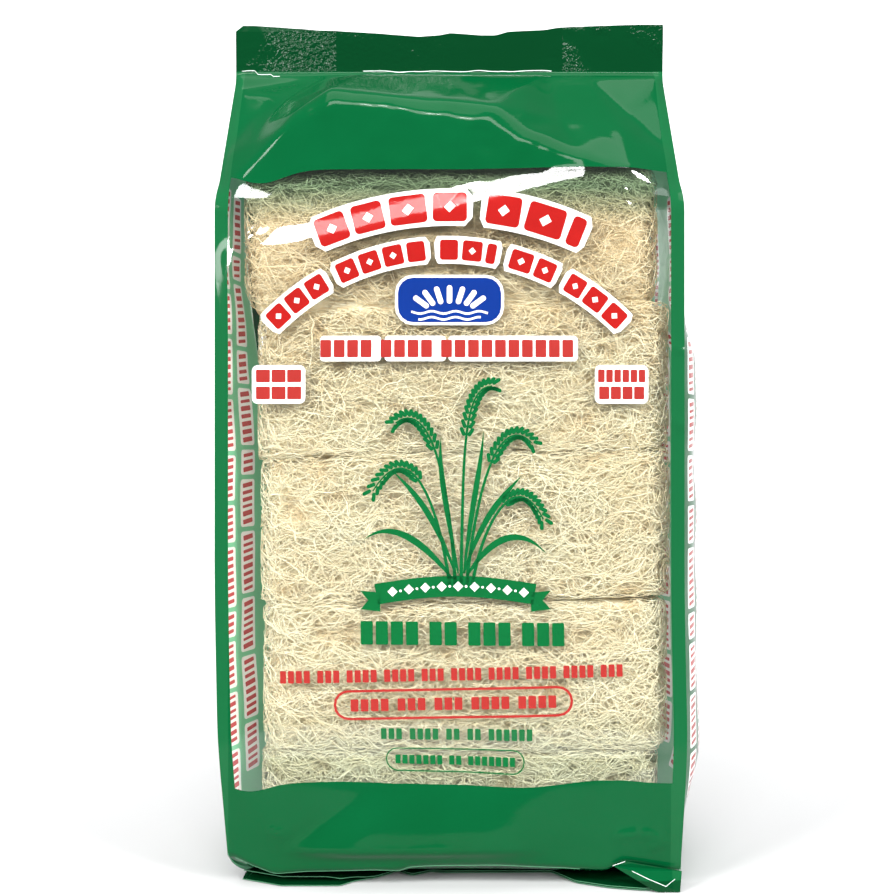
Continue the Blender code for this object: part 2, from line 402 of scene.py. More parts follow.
# ---- the film's front panel ----------------------------------------------------------
# One web of thin plastic film, formed into a tube with a tucked gusset down each side and
# sealed flat at both ends. The front panel runs from the fin folded under the base, up over
# the shoulder and into the standing top fin. Its middle is a clear window, the rest is green.
HEIGHT = box_high.z
PANEL_DEPTH = box_high.y - 0.6 * MM
FIN_HEIGHT = 16.4 * MM
SHOULDER_END = HEIGHT - FIN_HEIGHT
SHOULDER_START = 240 * MM
FIN_HALF_WIDTH = 82 * MM
CREASE_DEPTH = 36.2 * MM
GUSSET_FOLD = 38.5 * MM
BASE_LEAN = 1.8 * MM
BASE_NARROWING = 3.0 * MM
EDGE_HEIGHT = 8.5 * MM
SEAM_DIP = 0.9 * MM
SLACK_WAVES, CRUMPLES = 0.35 * MM, 0.45 * MM
SEALED_HALF = 0.35 * MM
BACK_FIN_SHIFT = 2.7 * MM
ROOT_DEPTH = 16 * MM
ROOT_NARROWING = 0.95
WINDOW_BOTTOM = 37.5 * MM
WINDOW_TOP = 254.3 * MM
WINDOW_SHARE = 1 - 4.9 / 83.4
# the shoulder's flat facets, as places on the film in mm: across, up, and out from the middle
FRONT_FACETS = {
    "low_left": (-84, 236, 36.4), "low_mid_left": (-45, 236, 39.2), "low_middle": (0, 236, 39.4),
    "low_mid_right": (45, 236, 39.2), "low_right": (84, 236, 36.4),
    "left_side": (-84, 262, 22.5), "left_corner": (-82.6, 292, 4.5), "left_end": (-82.6, 301, 0.5),
    "left_flap": (-46, 298.4, 2.5), "left_flap_edge": (-66.3, 288.2, 12), "left_pinch": (-61.3, 284.0, 17),
    "left_dent": (-68, 274.7, 22), "left_dent_top": (-72.5, 279.5, 15.5),
    "left_dent_foot": (-69.5, 266, 30.5), "left_curl": (-58, 270, 37.5), "ridge_left": (-55, 275.2, 36),
    "ridge_peak": (-42, 283.6, 36.5), "ridge_middle": (-14, 280.4, 37.3), "ridge_right": (16, 277.8, 37.0),
    "ridge_turn": (24, 270.4, 37.8), "ridge_fall": (45.5, 262, 37.2), "ridge_end": (64, 255.5, 37.2),
    "under_peak": (-41, 279, 39.0), "under_middle": (-14, 275.5, 39.6), "under_right": (12, 272, 39.7),
    "under_turn": (25, 264.8, 39.9), "under_fall": (46, 257.8, 39.3),
    "right_pinch": (40, 274.5, 26.5), "right_flap": (54, 295.2, 6), "right_tent": (62, 272.8, 25),
    "right_tent_top": (65.5, 281.5, 15), "right_side": (84, 262, 22.5), "right_corner": (82.6, 287.5, 7.3),
    "right_end": (82.6, 301, 0.5), "front_left": (-76, 252, 34.8), "front_right": (77, 250, 33.2),
    "end_left": (-30, 301, 0.5), "end_middle": (0, 301, 0.5), "end_right": (38, 301, 0.5),
}
# its folds, each a run of those places
FRONT_FOLDS = [
    "left_corner left_flap_edge left_pinch left_dent left_dent_top left_dent_foot",
    "left_corner left_flap ridge_peak",
    "left_curl ridge_left ridge_peak ridge_middle ridge_right ridge_turn ridge_fall ridge_end",
    "ridge_left under_peak under_middle under_right under_turn under_fall ridge_end",
    "right_flap right_pinch right_tent ridge_end", "right_tent right_tent_top right_corner",
    "right_tent_top right_flap", "low_left left_side left_corner", "low_right right_side right_corner",
]
# sharp pulled creases in the film: start, end, height and width in mm
FRONT_CREASES = [
    ((-83, 243), (-66, 230), 0.5, 0.9), ((-71, 229), (-61.5, 240.5), 0.5, 0.8),
    ((-68, 229), (-58.5, 239.5), 0.5, 0.8), ((54, 241), (64, 244.5), 1.1, 3.5),
    ((56, 18.5), (66, 20.3), 0.8, 1.6), ((66, 20.3), (74, 17.5), 0.8, 1.6),
    ((69, 14), (76, 16.8), 0.7, 1.4), ((77.5, 193), (83, 190), 0.6, 1.5),
    ((77.5, 168), (83, 163), 0.6, 1.5), ((-67, 21.0), (-58, 19.2), 0.7, 1.5),
    ((-44, 13.6), (2, 14.6), 0.5, 2.0), ((-32, 300.2), (40, 300.4), 1.0, 1.2),
]
# the long fold where the front leans back, left to right: across, up, how far it stands out,
# and how far its upper side reaches
FRONT_LAP = np.array([
    (-84, 224, 1.4, 6), (-74, 225.9, 1.9, 7.5), (-56, 227.4, 2.1, 8), (-38.6, 231.6, 1.5, 6),
    (-10.4, 238.2, 1.8, 7), (10.7, 242.3, 2.3, 8.5), (24.8, 245.4, 2.2, 8), (42.5, 249.6, 1.7, 6.2),
    (61.8, 254.6, 0.7, 2.6), (84, 258, 0.1, 0.8),
]) * MM


def ease(t):
    """0 to 1 with flat ends."""
    t = np.clip(t, 0.0, 1.0)
    return t * t * (3 - 2 * t)


def mix(a, b, t):
    return a + (b - a) * t


def hump(x, middle, width):
    """Smooth bump of height 1 round middle."""
    return np.exp(-((x - middle) / width) ** 2)


def waves(x, z, seed, size):
    """Slack film's waviness, about -1 to 1, from a few crossing waves of about that size."""
    draw = np.random.default_rng(seed)
    total = np.zeros(np.broadcast(x, z).shape)
    for _ in range(9):
        angle, pitch = draw.uniform(0, math.pi), size * draw.uniform(0.6, 1.7)
        phase = draw.uniform(0, 2 * math.pi)
        total += np.sin((x * math.cos(angle) + z * math.sin(angle)) * 2 * math.pi / pitch + phase)
    return total / 4.5


def crumple(x, z, seed, size):
    """Crumpled film's relief: waviness with sharp ridges."""
    first = waves(x, z, seed, size)
    second = waves(x + 0.4 * size * first, z, seed + 1, 0.55 * size)
    return (1 - 2 * np.abs(first)) * 0.65 + (1 - 2 * np.abs(second)) * 0.35


def crease_x(z):
    """Distance of a side crease from the pack's middle line."""
    closing = np.clip((z - SHOULDER_START) / (SHOULDER_END - SHOULDER_START), 0, 1)
    return mix(HALF_WIDTH, FIN_HALF_WIDTH, closing) - BASE_NARROWING * (1 - ease(z / (60 * MM)))


def crease_depth(z):
    """Half depth of the pack at a side crease: straight up, then a gable to the fin."""
    closing = np.clip((z - SHOULDER_START) / (SHOULDER_END - 3 * MM - SHOULDER_START), 0, 1)
    return mix(CREASE_DEPTH, 0.4 * MM, closing) - 1.0 * MM * (1 - ease((z - 7 * MM) / (16 * MM)))


def lean(z):
    """The pack leans a little to its right at the foot."""
    return BASE_LEAN * (1 - ease(z / (120 * MM)))


def facetted(facets, folds, x, z):
    """Depth of flat facets strung between named places, at x and z."""
    names = list(facets)
    flat = [Vector(facets[name][:2]) for name in names]
    runs = [[names.index(name) for name in run.split()] for run in folds]
    edges = [pair for run in runs for pair in zip(run, run[1:])]
    points, _, tris, origin, _, _ = geometry.delaunay_2d_cdt(flat, edges, [], 0, 1e-5)
    out = [facets[names[ids[0]]][2] if ids else None for ids in origin]
    depth = crease_depth(z)
    for tri in tris:
        (x0, z0), (x1, z1), (x2, z2) = [points[i] * MM for i in tri]
        d0, d1, d2 = [out[i] * MM for i in tri]
        area = (x1 - x0) * (z2 - z0) - (x2 - x0) * (z1 - z0)
        b = ((x - x0) * (z2 - z0) - (x2 - x0) * (z - z0)) / area
        c = ((x1 - x0) * (z - z0) - (x - x0) * (z1 - z0)) / area
        inside = (b > -1e-6) & (c > -1e-6) & (b + c < 1 + 1e-6)
        depth = np.where(inside, d0 + b * (d1 - d0) + c * (d2 - d0), depth)
    return depth


def pulled(x, z, start, end, height, width):
    """Sharp crease from start to end, all in mm: highest on its line, gone width away."""
    (ax, az), (bx, bz) = [(px * MM, pz * MM) for px, pz in (start, end)]
    length = math.hypot(bx - ax, bz - az)
    ux, uz = (bx - ax) / length, (bz - az) / length
    along = (x - ax) * ux + (z - az) * uz
    on_line = np.clip(along, 0, length)
    off = np.hypot(x - ax - on_line * ux, z - az - on_line * uz)
    fade = ease(along / (0.15 * length)) * ease((length - along) / (0.15 * length))
    return height * MM * fade * np.exp(-off / (width * MM))


def belly(x, z):
    """A sag of loose film low on a panel: it leans out downwards and stops at a crease."""
    start = mix(-54 * MM, -29 * MM, np.clip((z - 21 * MM) / (17 * MM), -0.4, 1))
    side = ease((x - start) / (24 * MM)) * (1 - ease((x - 6 * MM) / (34 * MM)))
    return 3.6 * MM * side * np.clip((40 * MM - z) / (25 * MM), 0, 1) * ease((z - 10 * MM) / (5 * MM))


def lapped(x, z):
    """The long fold: its upper side slopes back evenly, its lower side fades into the panel."""
    up, height, reach = [np.interp(x, FRONT_LAP[:, 0], FRONT_LAP[:, i]) for i in (1, 2, 3)]
    off = z - up
    return height * np.where(off > 0, np.clip(1 - off / reach, 0, 1), 1 - ease(-off / (35 * MM)))


def panel_depth(x, z, facets, folds, creases, seed):
    """Half depth of a panel, measured from the pack's middle."""
    share = np.clip(np.abs(x) / crease_x(z), 0, 1)
    calm = 1 - share ** 2
    side = crease_depth(np.minimum(z, SHOULDER_START))
    full = side + (PANEL_DEPTH - CREASE_DEPTH) * (1 - share ** 3.2)
    for floor, _, _, _, _, tilt, _ in BLOCKS[1:]:
        full = full - SEAM_DIP * hump(z, floor + x * tilt, 9 * MM) * calm
    full = full + SLACK_WAVES * waves(x, z, seed, 70 * MM) * calm
    full = full + belly(x, z)
    shoulder = facetted(facets, folds, x, z)
    shoulder = mix(shoulder, crease_depth(z), ease((share - 0.965) / 0.035))
    depth = mix(full, shoulder, ease((z - SHOULDER_START) / (13 * MM)))
    for crease in creases:
        depth = depth + pulled(x, z, *crease)
    if facets is FRONT_FACETS:
        depth = depth + lapped(x, z) * ease((1 - share) / 0.08)
    loose = ease((z - SHOULDER_START) / (16 * MM)) * ease((SHOULDER_END - z) / (6 * MM)) * calm
    return depth + loose * CRUMPLES * crumple(x, z, seed + 8, 26 * MM)


def fin_ripple(x, z):
    """Front to back waviness of the standing top fin."""
    rise = ease((z - SHOULDER_END) / FIN_HEIGHT)
    return rise * (0.4 * MM * np.sin(x / (19 * MM) + 0.6) + 0.12 * MM * crumple(x, z, 8, 12 * MM)
                   - 0.7 * MM)


def fin_end(x, front):
    """How far the top fin's free edge lies off its height; the back layer stands out at the left."""
    across = np.array([-79, -48, -27, -12, -3.6, 0.3, 12, 18, 23, 37, 43, 54, 73])
    up = np.array([2.5, 0.3, -0.9, -2.0, -1.3, -0.5, -1.3, -1.3, 0.1, 0.7, 1.6, 2.0, 2.5])
    short = 2.4 * MM * ease((-x - 45 * MM) / (35 * MM)) if front else 0.0
    return np.interp(x, across * MM, up * MM) - short


def front_edge_height(x):
    """Height of the fold at the foot of the front panel: it lifts at the corners."""
    across = np.array([-81, -76.4, -66.5, -54.5, -29.5, -20, -17.3, -9.6, 16.5, 37.8, 56, 61, 66, 81])
    up = np.array([11.6, 9.2, 5.3, 6.5, 7.3, 7.0, 8.4, 9.0, 9.4, 8.3, 6.8, 9.6, 9.4, 6.2])
    return np.interp(x, across * MM, up * MM)


def front_height(x, v):
    """Height of the film that lies v up the flat print."""
    foot = (front_edge_height(x) - EDGE_HEIGHT) * (1 - ease((v - EDGE_HEIGHT) / (38 * MM)))
    dip = -4.3 * MM * hump(x, -67 * MM, 11 * MM) + 1.2 * MM * ease((x - 5 * MM) / (60 * MM))
    wave = -3.0 * MM * hump(x, -74 * MM, 9 * MM) + 1.5 * MM * hump(x, 53 * MM, 13 * MM)
    wave = wave - 1.0 * MM * hump(x, 24 * MM, 14 * MM) + 1.2 * MM * hump(x, -40 * MM, 22 * MM)
    return v + foot + dip * hump(v, WINDOW_TOP, 14 * MM) + wave * hump(v, WINDOW_BOTTOM, 16 * MM)


def bottom_fin_reach(x):
    """How far forward the bottom fin's free edge lies: it is creased, and short in the middle."""
    across = np.array([-80, -65, -43, -37.7, -29.4, -22, -16, -9, -3.4, 37.6, 45.6, 57.5, 69.4, 80])
    reach = np.array([28.5, 35, 35, 30.5, 27, 20.5, 25, 21, 22, 21.5, 32, 37, 39.5, 39])
    return np.interp(x, across * MM, reach * MM)


def spread(borders, cell):
    """Grid lines from the first to the last border, with every border on a line."""
    lines = [borders[0]]
    for a, b in zip(borders, borders[1:]):
        count = max(1, round((b - a) / cell))
        lines += [a + (b - a) * (i + 1) / count for i in range(count)]
    return np.array(lines)


def softened(grid, passes):
    """Rounds off creases, leaving the outer points where they are."""
    grid = grid.copy()
    for _ in range(passes):
        grid[1:-1] = (grid[:-2] + 2 * grid[1:-1] + grid[2:]) / 4
        grid[:, 1:-1] = (grid[:, :-2] + 2 * grid[:, 1:-1] + grid[:, 2:]) / 4
    return grid


def panel_grid(front, cell, height_of, depth_of):
    """Points of a whole panel from bottom fin to top fin, and its print's columns and rows."""
    columns = spread([-1, -WINDOW_SHARE, WINDOW_SHARE, 1], cell / HALF_WIDTH)
    rows = spread([EDGE_HEIGHT, WINDOW_BOTTOM, WINDOW_TOP, SHOULDER_END, HEIGHT], cell)
    share, v = np.meshgrid(columns, rows)
    z = height_of(share * HALF_WIDTH, v)
    z = z + ease((v - SHOULDER_END) / FIN_HEIGHT) * fin_end(share * HALF_WIDTH, front)
    x = share * crease_x(z)
    if not front:
        x = x + BACK_FIN_SHIFT * ease((v - SHOULDER_END) / FIN_HEIGHT) * ease(-share * 1.6 - 0.6)
    depth = np.where(v >= SHOULDER_END, SEALED_HALF, depth_of(x, np.minimum(z, SHOULDER_END)))
    first, last = np.searchsorted(rows, SHOULDER_START), np.searchsorted(rows, SHOULDER_END) + 1
    depth[first:last] = softened(depth[first:last], 1)
    side = -1 if front else 1
    skirt = []
    for t in np.linspace(0, 1, 16)[1:]:
        rest = 1.5 * MM if front else 0.6 * MM
        depth_under = mix(side * depth[0], -ROOT_DEPTH, t)
        skirt.append((x[0] * mix(1, ROOT_NARROWING, t), depth_under, mix(rest, z[0], (1 - t) ** 1.8)))
    for t in np.linspace(0, 1, 14)[1:]:
        split = ease((-30 * MM - x[0]) / (20 * MM))
        layer = 1.1 * MM + 1.4 * MM * t * split if front else 0.5 * MM
        reach = bottom_fin_reach(x[0]) - (3.2 * MM * split if front else 0.0)
        skirt.append((x[0] * ROOT_NARROWING, -mix(ROOT_DEPTH, reach, t), layer + 0 * x[0]))
    under_x, under_y, under_z = [np.array([line[i] for line in reversed(skirt)]) for i in range(3)]
    xs, ys, zs = np.vstack([under_x, x]), np.vstack([under_y, side * depth]), np.vstack([under_z, z])
    fold = slice(len(skirt) - 4, len(skirt) + 5)
    ys[fold], zs[fold] = softened(ys[fold], 1), softened(zs[fold], 1)
    ys = ys + fin_ripple(xs, zs)
    grid = np.stack([xs + lean(zs) + MIDDLE_X, ys, zs], axis=2)
    rows = np.concatenate([EDGE_HEIGHT - np.arange(len(skirt), 0, -1) * cell, rows])
    return grid, columns, rows


def film_piece(name, grid, materials, picks, outward):
    """A grid of points as a sheet of film; picks gives each cell's material."""
    count_up, count_across = grid.shape[:2]
    index = np.arange(count_up * count_across).reshape(count_up, count_across)
    cells = np.stack([index[:-1, :-1], index[:-1, 1:], index[1:, 1:], index[1:, :-1]], axis=2)
    cells = cells.reshape(-1, 4) if outward else cells.reshape(-1, 4)[:, ::-1]
    mesh = bpy.data.meshes.new(name)
    mesh.from_pydata(grid.reshape(-1, 3).tolist(), [], cells.tolist())
    for material in materials:
        mesh.materials.append(material)
    mesh.polygons.foreach_set("material_index", picks.reshape(-1).astype(np.int32))
    mesh.shade_smooth()
    fix(add_piece(name, mesh))


def in_window(columns, rows):
    """1 for the cells of a panel that lie in its clear window."""
    across = (columns[:-1] + columns[1:]) / 2
    up = (rows[:-1] + rows[1:]) / 2
    clear = (np.abs(across)[None, :] < WINDOW_SHARE) & (up[:, None] > WINDOW_BOTTOM)
    return clear & (up[:, None] < WINDOW_TOP)


# slack: broad waves in thin film, with fine stretched crackle lines between them
slack = bpy.data.node_groups.new("film_slack", "ShaderNodeTree")
for label, value in (("Broad", 1.0), ("Crackle", 1.0)):
    socket = slack.interface.new_socket(name=label, in_out="INPUT", socket_type="NodeSocketFloat")
    socket.default_value = value
slack.interface.new_socket(name="Height", in_out="OUTPUT", socket_type="NodeSocketFloat")
given = slack.nodes.new("NodeGroupInput").outputs
spot = add_node(slack, "ShaderNodeTexCoord").outputs["Object"]
crackle = add_node(slack, "ShaderNodeTexVoronoi", {"Vector": spot, "Scale": 120.0},
                   feature="DISTANCE_TO_EDGE")
lines = Rule(slack, crackle.outputs["Distance"]).maths("SMOOTH_MIN", 0.08, 0.08)
total = noise_over(slack, spot, 48.0, 2.0) * given["Broad"] + lines * given["Crackle"]
add_node(slack, "NodeGroupOutput", {"Height": total})

# clear film: looked straight through, with a mirror on top that grows towards its edges
clear_film, tree, spot = new_material("clear_film")
through = add_node(tree, "ShaderNodeBsdfTransparent", {"Color": (0.98, 0.985, 0.97, 1)})
gloss = add_node(tree, "ShaderNodeBsdfPrincipled", {
    "Base Color": (1, 1, 1, 1), "Metallic": 1.0, "Roughness": 0.06,
    "Normal": bumps(tree, noise_over(tree, spot, 55.0, 1.0), 0.3, 0.0008)})
aside = add_node(tree, "ShaderNodeLayerWeight", {"Blend": 0.5})
bounce = Rule(tree, aside.outputs["Facing"]).maths("POWER", 4.0) * 0.8 + 0.075
both = add_node(tree, "ShaderNodeMixShader", {0: bounce, 1: through, 2: gloss})
add_node(tree, "ShaderNodeOutputMaterial", {"Surface": both})

# green ink on the film, a little uneven everywhere and pressed with a fine stipple where the four
# layers of the fin are sealed. With painted light on top: the sealed fins and the film under the
# base are darker, partly for their layers of film and partly as painted shade, a painted sheen
# lightens the strips beside the window, and the ink grows a little darker towards the foot
green_film, tree, spot = new_material("green_film")
where = add_node(tree, "ShaderNodeSeparateXYZ", {0: spot})
across, up = [Rule(tree, where.outputs[axis]) for axis in "XZ"]
mottle = noise_over(tree, spot, 24.0, 3.0)
sealed = up.maths("GREATER_THAN", SHOULDER_END + 1.2 * MM)
under = up.maths("LESS_THAN", 4.0 * MM)
off_middle = (across - MIDDLE_X).maths("ABSOLUTE")
doubled = off_middle.maths("GREATER_THAN", FIN_HALF_WIDTH - GUSSET_FOLD) * sealed
# painted sheen: the strips beside the window are lightened as if they caught a soft reflection
painted_side_sheen = off_middle.maths("GREATER_THAN", HALF_WIDTH * WINDOW_SHARE) * 0.7 - sealed
ink = blend(tree, mottle, (0.0004, 0.069, 0.0175), (0.0010, 0.092, 0.0275))
ink_with_side_sheen = blend(tree, painted_side_sheen, ink, (0.0090, 0.110, 0.036))
# darker on the sealed top fin and under the base, partly for their layers of film and partly as painted
# shade; a little darker towards the foot
depth = sealed * 0.8 + under * 0.62 - doubled * 0.06 + ramp(tree, up, 0.055, 0.025, 0.12)
ink_with_painted_light = blend(tree, depth, ink_with_side_sheen, (0.0005, 0.026, 0.0065))
relief = add_node(tree, "ShaderNodeGroup", node_tree=slack)
relief.inputs["Broad"].default_value = 0.35
relief.inputs["Crackle"].default_value = 0.15
worn = ramp(tree, mottle, 0.41, 0.53)
crimp = noise_over(tree, spot, 750.0, 1.0) * worn * (doubled * 2.6 + sealed * 0.5)
normal = bumps(tree, Rule(tree, relief.outputs[0]) + crimp, 0.5, 0.0008)
surface(tree, ink_with_painted_light, 0.09, {"Specular IOR Level": 0.15, "Normal": normal})

front_grid, front_columns, front_rows = panel_grid(
    True, 1.25 * MM, front_height,
    lambda x, z: panel_depth(x, z, FRONT_FACETS, FRONT_FOLDS, FRONT_CREASES, 3))
film_piece("film_front", front_grid, [green_film, clear_film], in_window(front_columns, front_rows),
           True)

# ---- the film's back panel -----------------------------------------------------------
# The same film behind: a green band top and bottom round a second clear window. It slumps
# the other way, and its fin lies flat under the base, below the front panel's.
BACK_FACETS = {
    "low_left": (-84, 236, 36.4), "low_middle": (0, 236, 39.4), "low_right": (84, 236, 36.4),
    "left_side": (-84, 262, 22.5), "left_end": (-82.6, 301, 0.5), "right_side": (84, 262, 22.5),
    "right_end": (82.6, 301, 0.5), "ridge_end": (-60, 258, 37), "ridge_left": (-36, 273, 37.5),
    "ridge_middle": (2, 280, 37), "ridge_right": (38, 283, 36), "ridge_fall": (57, 272, 35),
    "left_pinch": (-42, 286, 17), "left_tent": (-66, 276, 19), "right_pinch": (62, 284, 15),
    "right_dent": (70, 270, 25), "end_left": (-40, 301, 0.5), "end_middle": (0, 301, 0.5),
    "end_right": (42, 301, 0.5), "front_right": (75, 251, 34),
}
BACK_FOLDS = [
    "ridge_end ridge_left ridge_middle ridge_right ridge_fall", "ridge_end left_pinch end_left",
    "ridge_right right_pinch right_dent", "right_pinch end_right", "ridge_end left_tent left_pinch",
    "low_left left_side left_end", "low_right right_side right_end",
]
BACK_CREASES = [((-60, 256), (-20, 242), 1.3, 5.0), ((66, 250), (30, 236), 1.2, 5.0)]


def back_height(x, v):
    """Height of the film that lies v up the flat print of the back."""
    edge = np.interp(np.abs(x), np.array([0, 50, 66, 80]) * MM, np.array([3.0, 3.2, 4.4, 9.0]) * MM)
    return v + (edge - EDGE_HEIGHT) * (1 - ease((v - EDGE_HEIGHT) / (38 * MM)))


back_grid, back_columns, back_rows = panel_grid(
    False, 1.6 * MM, back_height,
    lambda x, z: panel_depth(x, z, BACK_FACETS, BACK_FOLDS, BACK_CREASES, 4))
film_piece("film_back", back_grid, [green_film, clear_film], in_window(back_columns, back_rows),
           False)

# ---- the film's cut edges and folds --------------------------------------------------
# Thin paler strips on the film: the cut edges of both layers of the bottom fin are a little paler
# and carry a painted glint, as does the fold above it; near-white painted highlights run along the
# root of the top fin and the creases of the foot ear. A cap closes the top fin, and the right foot
# corner is folded into a small ear that hangs over the bottom fin.
# the cut edges' own paler green, brightened into a painted glint
film_edge_and_glint, tree, _ = new_material("film_edge_and_glint")
surface(tree, (0.06, 0.22, 0.11), 0.25)
# near-white painted highlight along sharp creases
painted_glint, tree, _ = new_material("painted_glint")
surface(tree, (0.80, 0.90, 0.84), 0.2)


def edge_strip(name, points, low, high, material):
    """Narrow upright strip along points, from low to high of them, facing the front."""
    rows = [points + np.array([0, -out, up]) * MM for out, up in (low, high)]
    picks = np.zeros((1, len(points) - 1))
    film_piece(name, np.stack(rows), [material], picks, True)


fold_row = int(np.searchsorted(front_rows, EDGE_HEIGHT - 0.1 * MM))
edge_strip("edge_and_glint_panel_foot", front_grid[fold_row - 1, 2:-30], (0.25, -0.1), (0.25, 0.15), film_edge_and_glint)
root_row = int(np.searchsorted(front_rows, SHOULDER_END - 0.1 * MM)) + 1
root_line = front_grid[root_row] + np.array([0, 0, 0.3 * MM]) * waves(front_columns * 50, 0, 12, 8)[:, None]
start, end = np.searchsorted(front_columns, (-0.41, 0.49))
edge_strip("painted_glint_fin_root", root_line[start:end], (0.35, -0.14), (0.35, 0.14), painted_glint)
corner_line = np.array([root_line[2 + i] + front_grid[root_row - i // 5, 2 + i] - front_grid[root_row, 2 + i]
                        for i in range(13)])
edge_strip("painted_glint_fin_corner", corner_line, (0.35, -0.1), (0.35, 0.14), painted_glint)
edge_strip("edge_and_glint_fin_upper", front_grid[0], (0.1, -0.1), (0.1, 0.15), film_edge_and_glint)
edge_strip("edge_and_glint_fin_lower", back_grid[0], (0.1, -0.1), (0.1, 0.15), film_edge_and_glint)

back_top = np.stack([np.interp(front_columns, back_columns, back_grid[-1, :, i]) for i in range(3)], axis=1)
cap = np.stack([front_grid[-1], back_top])
film_piece("top_fin_cap", cap, [green_film], np.zeros((1, len(front_columns) - 1)), True)

ear = np.array([
    (57.5, -38.6, 8.8), (72.4, -41.0, 0.4), (80.9, -41.0, 0.3), (82.0, -38.6, 6.9), (64.1, -40.4, 7.5),
    (69.7, -40.8, 4.9), (75.9, -41.2, 2.4), (79.3, -39.8, 4.5), (61.8, -39.4, 10.6),
]) * MM + np.array([MIDDLE_X, 0, 0])
mesh = bpy.data.meshes.new("foot_ear")
mesh.from_pydata(ear.tolist(), [], [(0, 1, 6, 5, 4), (4, 5, 6, 7, 3), (0, 4, 3, 8), (6, 1, 2), (6, 2, 3, 7)])
mesh.materials.append(green_film)
fix(add_piece("foot_ear", mesh))
edge_strip("painted_glint_ear_crease", ear[[4, 5, 6, 7]], (0.15, -0.12), (0.15, 0.12), painted_glint)
edge_strip("painted_glint_ear_start", ear[[0, 8]], (0.3, -0.1), (0.3, 0.12), painted_glint)

# ---- the side gussets ----------------------------------------------------------------
# The film between the two panels: tucked inwards at the shoulders, folded in a little on
# the left and pushed out by the blocks on the right. Inside, the ink shows pale green, with a
# painted glow for the light that comes through the thin film.
LEFT_GUSSET_IN = 14 * MM
RIGHT_GUSSET_OUT = 10.0 * MM
LINING_GAP = 0.15 * MM


def gusset_in(z, side):
    """How far a gusset's middle lies inside its creases; less than zero is a bulge."""
    body = LEFT_GUSSET_IN if side < 0 else -RIGHT_GUSSET_OUT
    lower = mix(3 * MM, body, ease(z / (45 * MM)))
    if side < 0:
        lower = mix(lower, 5 * MM, ease((z - 150 * MM) / (85 * MM)))
    else:
        lower = mix(lower, 1 * MM, ease((z - 188 * MM) / (26 * MM)))
    tucked = np.sqrt(np.maximum(0, GUSSET_FOLD ** 2 - crease_depth(z) ** 2))
    return mix(lower, tucked, ease((z - SHOULDER_START - 14 * MM) / (24 * MM)))


def gusset_grid(side, cell):
    """Points of one gusset, from the front crease round its middle to the back crease."""
    columns = spread([-1, 0, 1], cell / CREASE_DEPTH)
    rows = spread([0, SHOULDER_START, SHOULDER_END + 8 * MM], cell)
    t, v = np.meshgrid(columns, rows)
    corner = front_edge_height(side * HALF_WIDTH)
    corner = np.where(t < 0, corner, back_height(HALF_WIDTH, EDGE_HEIGHT))
    under = np.clip((1 - np.abs(t)) * 2.2, 0, 1)
    foot = mix(1.0 * MM, corner, (1 - under) ** 1.8)
    z = v + foot * (1 - ease(v / (38 * MM)))
    inward = gusset_in(z, side)
    bow, tuck = 1 - t * t, 1 - np.abs(t)
    shape = mix(bow, tuck, ease(inward / (14 * MM)))
    wrinkle = 0.6 * MM * waves(t * CREASE_DEPTH, z, 21 + side, 34 * MM) * bow
    below = 1 - ease((z - 0.5 * MM) / (9 * MM))
    x = side * (crease_x(z) - inward * shape + wrinkle - 6 * MM * below * bow)
    closed = ease((z - SHOULDER_END + 4 * MM) / (4 * MM))
    y = t * mix(crease_depth(z), 0.12 * MM, closed) + fin_ripple(x, z)
    return np.stack([x + lean(z) + MIDDLE_X, y, z], axis=2), columns, rows


# painted light: the lining glows a little, standing in for the light that comes through the thin film
LINING_GLOW = 0.25
gusset_lining, tree, spot = new_material("gusset_lining")
ink = blend(tree, noise_over(tree, spot, 30.0, 2.0), (0.15, 0.47, 0.26), (0.22, 0.56, 0.34))
surface(tree, ink, 0.3, {"Emission Color": ink, "Emission Strength": LINING_GLOW})

gusset_grids = {}
for side_name, side in (("left", -1), ("right", 1)):
    grid, gusset_columns, gusset_rows = gusset_grid(side, 1.7 * MM)
    gusset_grids[side_name] = grid
    picks = np.zeros((grid.shape[0] - 1, grid.shape[1] - 1))
    film_piece("gusset_" + side_name, grid, [green_film], picks, side > 0)
    rows_below = int(np.searchsorted(gusset_rows, SHOULDER_START + 34 * MM))
    lining = grid[:rows_below].copy()
    lining[:, :, 0] -= side * LINING_GAP
    film_piece("gusset_lining_" + side_name, lining, [gusset_lining], picks[:rows_below - 1], side < 0)

# ---- the print on the front ----------------------------------------------------------
# Inks laid on the film: red, green and blue marks, most of them on a white ground. There is
# no lettering: rows of plain tiles, a blue badge with rice grains, and a sheaf of rice ears.
WHITE_LIFT = 0.05 * MM
COLOUR_LIFT = 0.10 * MM


def flat_ink(name, colour, uneven, glow=0.0):
    """Glossy ink under the film's own skin, a little uneven in strength."""
    ink, tree, spot = new_material(name)
    deep = tuple(c * (1 - uneven) for c in colour)
    tint = blend(tree, noise_over(tree, spot, 180.0, 3.0), deep, colour)
    relief = add_node(tree, "ShaderNodeGroup", node_tree=slack)
    more = {"Specular IOR Level": 0.35, "Normal": bumps(tree, relief, 0.4, 0.0008)}
    # painted light: a glowing ink shines as if lit by light coming through the film
    if glow:
        more.update({"Emission Color": tint, "Emission Strength": glow})
    surface(tree, tint, 0.15, more)
    return ink


ink_white = flat_ink("ink_white", (0.90, 0.90, 0.88), 0.05)
ink_red = flat_ink("ink_red", (0.40, 0.011, 0.009), 0.18)
ink_brick = flat_ink("ink_brick", (0.37, 0.030, 0.025), 0.18)
ink_green = flat_ink("ink_green", (0.002, 0.125, 0.030), 0.2)
ink_blue = flat_ink("ink_blue", (0.004, 0.030, 0.220), 0.15)


